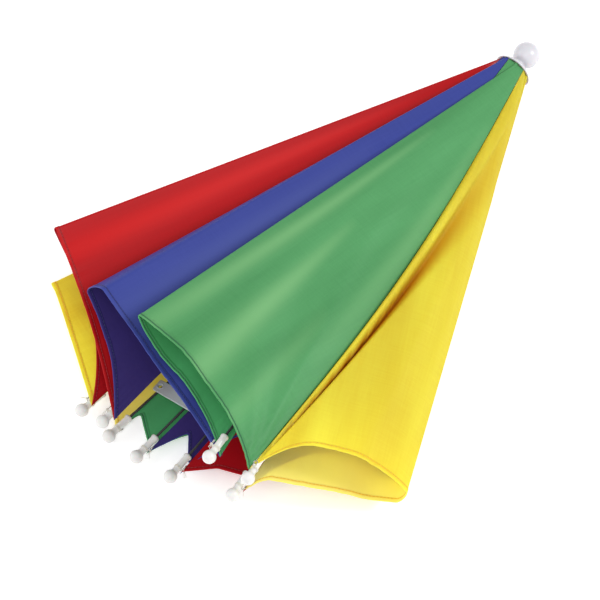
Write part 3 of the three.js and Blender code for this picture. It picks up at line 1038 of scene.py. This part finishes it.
def bevelled_rod(start, end, radius, bevel):
    """The profile of a rod with bevelled ends."""
    return [(start, 0), (start, radius - bevel), (start + bevel, radius),
            (end - bevel, radius), (end, radius - bevel), (end, 0)]


def rib_notch():
    radius = NOTCH / 2
    profile = bevelled_rod(NOTCH_FRONT - NOTCH_LENGTH, NOTCH_FRONT, radius, NOTCH_BEVEL)
    piece = turned("rib_notch_turned", profile, ORIGIN, ALONG_X, NOTCH_SIDES)
    return finish_piece(piece, white_plastic, "white_plastic", "rib_notch")


crown_knob()
crown_flange()
rib_notch()


# Ribs, tips and the threads that tie the cloth to them

HUB_RADIUS = RING_RADIUS - SOLID_WALL / 2 - GAP - ROD / 2


def rib_start(row):
    place = heading(row.turn) * (HUB_RADIUS - GAP)
    return np.array([NOTCH_FRONT - NOTCH_LENGTH - GAP, place[0], place[1]])


def rib_rod(number):
    start, tip = rib_start(RIBS[number]), tips[number]
    way = unit(tip - start)
    end = np.linalg.norm(tip - start) - BALL / 2 - SLEEVE_LENGTH + SOCKET_DEPTH - GAP
    profile = bevelled_rod(0, end, WIRE / 2, ROD_BEVEL)
    piece = turned(f"rib_{number + 1}_rod", profile, start, way, ROD_SIDES)
    return finish_piece(piece, dark_steel, "dark_steel", f"rib_{number + 1}")


def rib_tip_cap(number):
    start, tip = rib_start(RIBS[number]), tips[number]
    way = unit(tip - start)
    ball, sleeve, collar = BALL / 2, SLEEVE / 2, COLLAR / 2
    bore = ROD / 2 + GAP
    mouth = -ball - SLEEVE_LENGTH
    profile = [
        (mouth + SOCKET_DEPTH, 0), (mouth + SOCKET_DEPTH, bore), (mouth, bore), (mouth, collar - 0.3),
        (mouth + 0.3, collar), (mouth + COLLAR_LENGTH - 0.2, collar), (mouth + COLLAR_LENGTH + 0.4, sleeve),
        (-ball - 1.5, sleeve), (-ball - 0.3, sleeve + 0.1),
    ]
    profile += ball_arc(0, ball, math.asin((sleeve + 0.3) / ball), TIP_STEPS)
    piece = turned(f"rib_tip_{number + 1}_cap", profile, tip, way, TIP_SIDES)
    # The tips get the lighter copy of the white plastic, painted light
    return finish_piece(piece, tip_plastic_lightened, "white_plastic", f"rib_tip_{number + 1}")


TIE_FROM_BALL = 6.5
TIE_THREAD = 0.22
TIE_TURNS = 3
TIE_STEPS = 20
TIE_PITCH = 2.1
TIE_SIDES = 6


def tip_tie(number):
    """A few turns of thread round the sleeve, two strands to the cloth's corner, and a knot."""
    rng = np.random.default_rng(TIE_SEED + number)
    row, tip = RIBS[number], tips[number]
    way = unit(tip - rib_start(row))
    _, first, second = frame_of(way)
    at = tip - way * TIE_FROM_BALL
    out = np.array([0, *heading(row.lean)])
    radius = SLEEVE / 2 + TIE_THREAD
    coil = []
    for k in range(TIE_TURNS * TIE_STEPS + 1):
        angle = 2 * math.pi * k / TIE_STEPS
        coil.append(at - way * (k * TIE_THREAD * TIE_PITCH / TIE_STEPS)
                    + (first * math.cos(angle) + second * math.sin(angle)) * radius)
    parts = [tube(coil, TIE_THREAD, TIE_SIDES)]
    corner = at + out * (SEAM_OFFSET + 0.4) - way * 1.2
    for lean in (-0.5, 0.5):
        side = np.cross(way, out) * lean
        halfway = (at + corner) / 2 + out * 0.8 + side * 2
        strand = [at + out * radius * 0.9 + side, halfway, corner + side * 0.4]
        parts.append(tube(strand, TIE_THREAD, TIE_SIDES))
    knot = []
    for k in range(33):
        angle = 2 * math.pi * k / 16
        knot.append(corner + first * math.cos(angle) * 0.55 + second * math.sin(angle) * 0.55
                    + way * math.sin(2.5 * angle) * 0.4)
    parts.append(tube(knot, TIE_THREAD, TIE_SIDES))
    for k in range(2):
        aim = unit(rng.normal(size=3) + way * 1.4 + out)
        droop = np.array([0, 0, -1.2])
        end = [corner, corner + aim * 1.5, corner + aim * 3 + droop * 0.3, corner + aim * 4 + droop]
        parts.append(tube(end, TIE_THREAD * 0.8, TIE_SIDES))
    points, faces = joined(parts)
    piece = make_mesh(f"tip_tie_{number + 1}", above_floor(points), faces)
    return finish_piece(piece, white_thread, "white_elastic")


EYELET = 2.4
EYELET_WIRE = 0.35


def tip_eyelet(number):
    """A small metal ring in the cloth's corner."""
    row, tip = RIBS[number], tips[number]
    way = unit(tip - rib_start(row))
    out = np.array([0, *heading(row.lean)])
    centre = tip - way * (TIE_FROM_BALL + 3.2) + out * (SEAM_OFFSET + 0.2)
    side = unit(np.cross(way, out))
    ring = [centre + (way * math.cos(a) + side * math.sin(a)) * EYELET / 2
            for a in np.linspace(0, 2 * math.pi, 25)]
    points, faces = tube(ring, EYELET_WIRE, 8)
    piece = make_mesh(f"tip_eyelet_{number + 1}", above_floor(points), faces)
    return finish_piece(piece, bright_steel, "dark_steel")


for number in range(len(RIBS)):
    rib_rod(number)
    rib_tip_cap(number)
    tip_tie(number)
    tip_eyelet(number)


# Strip and head band

def flat_plate(name, outlines, thickness, bevel):
    """A flat plate with rounded edges from closed outlines; the second and later ones are holes."""
    curve = bpy.data.curves.new(name, "CURVE")
    curve.dimensions = "2D"
    curve.fill_mode = "BOTH"
    curve.extrude = thickness / 2 - bevel
    curve.bevel_depth = bevel
    curve.bevel_resolution = 2
    curve.offset = -bevel
    for outline in outlines:
        spline = curve.splines.new("POLY")
        spline.points.add(len(outline) - 1)
        spline.points.foreach_set("co", [c for x, y in outline for c in (x, y, 0, 1)])
        spline.use_cyclic_u = True
    plate = new_object(name, curve)
    view = bpy.context.evaluated_depsgraph_get()
    mesh = bpy.data.meshes.new_from_object(plate.evaluated_get(view))
    points = np.array([v.co for v in mesh.vertices])
    faces = [tuple(face.vertices) for face in mesh.polygons]
    bpy.data.objects.remove(plate)
    return points, faces


def circle(radius, count):
    return [(radius * math.cos(a), radius * math.sin(a)) for a in np.arange(count) * 2 * math.pi / count]


def rib_place(number, from_tip):
    start, tip = rib_start(RIBS[number]), tips[number]
    return tip - unit(tip - start) * from_tip


def band_strip():
    """A flat strip with rounded ends, an eyelet hole at one end and a raised rim round the hole."""
    near, far = (rib_place(number, STRIP_FROM_TIP) for number in STRIP_RIBS)
    along = unit(np.array([0, *(far - near)[1:]]))
    up = np.array([0, -along[2], along[1]]) * (-1 if along[1] < 0 else 1)
    across = np.cross(up, along)
    length = np.linalg.norm(far - near) + 2 * STRIP_OVERHANG
    half, corner = STRIP_WIDTH / 2, STRIP_CORNER
    outline = []
    for x, y, start in ((length - corner, half - corner, 0), (corner, half - corner, 90),
                        (corner, corner - half, 180), (length - corner, corner - half, 270)):
        for angle in np.radians(np.linspace(start, start + 90, 6)):
            outline.append((x + corner * math.cos(angle), y + corner * math.sin(angle)))
    hole = [(x + STRIP_END_MARGIN, y) for x, y in circle(STRIP_HOLE / 2, 32)]
    points, faces = flat_plate("band_strip_plate", [outline, hole], STRIP_THICKNESS, 0.2)
    parts = [(points, faces)]
    for face in (-1, 1):
        rim = [(x + STRIP_END_MARGIN, y, face * STRIP_THICKNESS / 2) for x, y in circle(EYELET_RIM / 2, 48)]
        parts.append(tube(rim + rim[:1], EYELET_RIM_WIRE, 10))
    points, faces = joined(parts)
    middle = near + up * (ROD / 2 + GAP + STRIP_THICKNESS / 2) - along * STRIP_OVERHANG
    placed = middle + np.asarray(points) @ np.array([along, across, up])
    piece = make_mesh("band_strip_made", placed, faces)
    smooth_by_angle(piece)
    return finish_piece(piece, grey_plastic, "grey_plastic", "band_strip")


def smooth_by_angle(piece, degrees=35):
    """Leaves the flat faces flat and shades only the rounded edges smooth."""
    normals = [p.normal for p in piece.data.polygons]
    meeting = {}
    for polygon in piece.data.polygons:
        for key in polygon.edge_keys:
            meeting.setdefault(key, []).append(polygon.index)
    for edge in piece.data.edges:
        sides = meeting.get(tuple(sorted(edge.vertices)), [])
        sharp = len(sides) == 2 and normals[sides[0]].angle(normals[sides[1]], 0) > math.radians(degrees)
        edge.use_edge_sharp = sharp


def rounded_loop(corners, rounds):
    """A closed path with its corners cut off again and again."""
    path = np.asarray(corners)
    for _ in range(rounds):
        following = np.roll(path, -1, axis=0)
        path = np.stack([path * 0.75 + following * 0.25, path * 0.25 + following * 0.75], 1).reshape(-1, 3)
    return path


def head_band():
    """A gathered loop of elastic webbing that stands on two ribs."""
    ends = []
    for number in BAND_RIBS:
        start, tip = rib_start(RIBS[number]), tips[number]
        ends.append([start + (tip - start) * share for share in BAND_SHARES])
    rest = np.array([0, 0, ROD / 2 + GAP + BAND_WIDTH / 2])
    path = rounded_loop([ends[0][0] + rest, ends[0][1] + rest, ends[1][1] + rest, ends[1][0] + rest], 6)
    steps = np.linalg.norm(np.roll(path, -1, axis=0) - path, axis=1)
    run = np.concatenate([[0], np.cumsum(steps)[:-1]])
    turns = round(steps.sum() / BAND_GATHER)
    phase = 2 * math.pi * turns * run / steps.sum()
    ahead = unit(np.roll(path, -1, axis=0) - np.roll(path, 1, axis=0))
    side = unit(np.stack([ahead[:, 1], -ahead[:, 0], np.zeros(len(path))], axis=1))
    points = []
    edge = BAND_WIDTH / 2
    profile = [(-1, -edge), (-1, 0), (-1, edge), (1, edge), (1, 0), (1, -edge)]
    for out, height in profile:
        ruffle = BAND_RUFFLE * (np.sin(phase) * abs(height) / edge + 0.3 * np.sin(2 * phase))
        ring = path + side * (out * BAND_THICKNESS / 2 + ruffle)[:, None]
        ring[:, 2] += height
        points.append(ring)
    count = len(path)
    faces = []
    for k in range(len(profile)):
        low, high = k * count, (k + 1) % len(profile) * count
        for i in range(count):
            j = (i + 1) % count
            faces.append((low + i, low + j, high + j, high + i))
    piece = make_mesh("head_band_knitted", np.concatenate(points), faces)
    return finish_piece(piece, knit, "white_elastic", "head_band")


band_strip()
head_band()


# Camera, floor and light

def place_camera():
    azimuth, elevation = math.radians(CAMERA_AZIMUTH), math.radians(CAMERA_ELEVATION)
    right = np.array([math.cos(azimuth), math.sin(azimuth), 0])
    away = np.array([-math.sin(azimuth), math.cos(azimuth), 0])
    back = -away * math.cos(elevation) + np.array([0, 0, math.sin(elevation)])
    up = np.cross(back, right)
    place = hub - right * HUB_RIGHT_OF_AXIS - up * HUB_ABOVE_AXIS + back * CAMERA_DISTANCE
    data = bpy.data.cameras.new("photo_view")
    data.lens = LENS
    data.sensor_width = SENSOR
    data.clip_end = CAMERA_REACH
    camera = new_object("photo_view", data)
    turn = Matrix((right, up, back)).transposed()
    camera.matrix_world = Matrix.Translation(Vector(place) * MM) @ turn.to_4x4()
    bpy.context.scene.camera = camera


def place_floor():
    mesh = bpy.data.meshes.new("floor")
    corners = [(x * FLOOR_HALF, y * FLOOR_HALF, 0) for x, y in ((-1, -1), (1, -1), (1, 1), (-1, 1))]
    mesh.from_pydata(corners, [], [(0, 1, 2, 3)])
    floor = new_object("floor", mesh)
    material, _, shader = material_nodes("pale_floor")
    set_inputs(shader, {
        "Base Color": (0.97, 0.97, 0.97, 1), "Roughness": 0.9, "Specular IOR Level": 0.1,
        "Emission Color": (1, 1, 1, 1), "Emission Strength": FLOOR_GLOW,
    })
    floor.data.materials.append(material)


def place_light(name, place, target, size, power):
    data = bpy.data.lights.new(name, "AREA")
    data.shape = "DISK"
    data.size = size
    data.energy = power
    light = new_object(name, data)
    light.location = place
    way = Vector(target) - Vector(place)
    light.rotation_euler = way.to_track_quat("-Z", "Y").to_euler()


def place_world():
    world = bpy.data.worlds.new("studio")
    world.use_nodes = True
    background = world.node_tree.nodes["Background"]
    set_inputs(background, {"Color": (1, 1, 1, 1), "Strength": WORLD_LIGHT})
    bpy.context.scene.world = world


place_camera()
place_floor()
for light in LIGHTS:
    place_light(*light)
place_world()
bpy.context.scene.view_settings.view_transform = "Standard"
